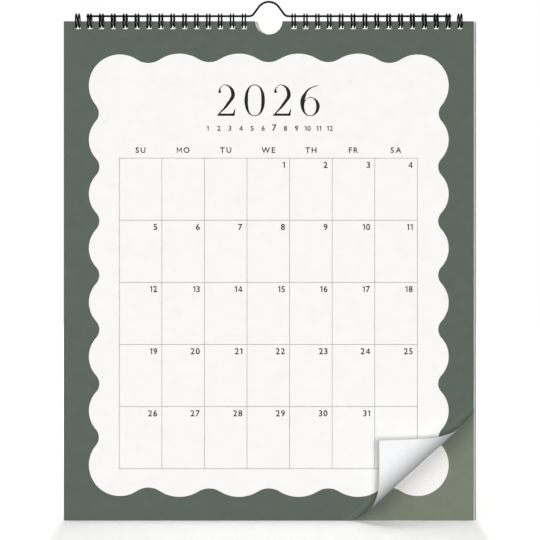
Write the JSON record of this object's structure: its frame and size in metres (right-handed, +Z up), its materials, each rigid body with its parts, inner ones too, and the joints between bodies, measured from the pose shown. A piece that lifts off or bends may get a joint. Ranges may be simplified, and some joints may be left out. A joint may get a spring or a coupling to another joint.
{
  "type": "wall calendar",
  "caption": "Wall calendar with a twin-loop wire binding, an arched wire hanger, a scalloped page panel with a day grid and a curled lower corner.",
  "frame": {"origin": "underside of the hanger's arch at the object's middle, where the nail carries it", "axes": "+Z up along the leaves, +X to the right seen from the front, +Y into the wall"},
  "size_m": [0.2941, 0.0441, 0.3704],
  "materials": {
    "black_wire": "black nylon coated steel wire",
    "printed_paper": "matt printed paper, green border, off-white panel, plain white back",
    "paper_stack": "matt printed paper, olive border on the leaf in front, pale cut edges",
    "greyboard": "grey unlined board"
  },
  "bodies": {
    "hanger": {"hanger": "black_wire"},
    "binding": {"wire_left": "black_wire", "wire_right": "black_wire", "leaf_block": "paper_stack", "back_board": "greyboard"},
    "front_leaf": {"front_leaf": "printed_paper"}
  },
  "joints": [
    {"name": "binding_on_hanger", "type": "hinge", "parent": "hanger", "child": "binding", "pos_m": [0, 0, -0.00953], "axis": [-1, 0, 0], "range_deg": [-140, 60]},
    {"name": "front_leaf_on_wire", "type": "hinge", "parent": "binding", "child": "front_leaf", "pos_m": [0, 0, -0.01289], "axis": [-1, 0, 0], "range_deg": [0, 115]}
  ]
}
